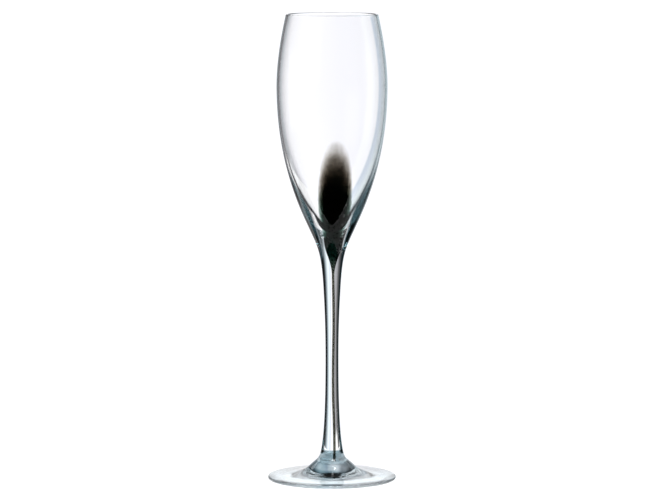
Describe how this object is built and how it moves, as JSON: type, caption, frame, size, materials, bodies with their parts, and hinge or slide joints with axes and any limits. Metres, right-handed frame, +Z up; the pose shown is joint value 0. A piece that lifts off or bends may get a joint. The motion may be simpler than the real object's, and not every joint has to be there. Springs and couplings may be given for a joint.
{
  "type": "champagne flute",
  "caption": "Tall hot-worked glass flute: a tulip bowl with a smoke-black veil of colour, a drawn stem with a colour thread, and a round spun foot.",
  "frame": {"origin": "on the axis, in the plane that the foot stands on", "axes": "+Z up along the axis, from the foot to the rim; -Y is the front, where the veil of colour is, turned a little to +X"},
  "size_m": [0.0636, 0.0636, 0.23],
  "materials": {
    "clear_glass": "fire-polished clear glass with a faint blue-green tint",
    "smoke_glass": "smoke-black glass, brown where it is thin"
  },
  "bodies": {
    "root": {"bowl": "clear_glass", "stem": "clear_glass", "foot": "clear_glass", "colour_veil": "smoke_glass", "colour_thread": "smoke_glass"}
  },
  "joints": []
}
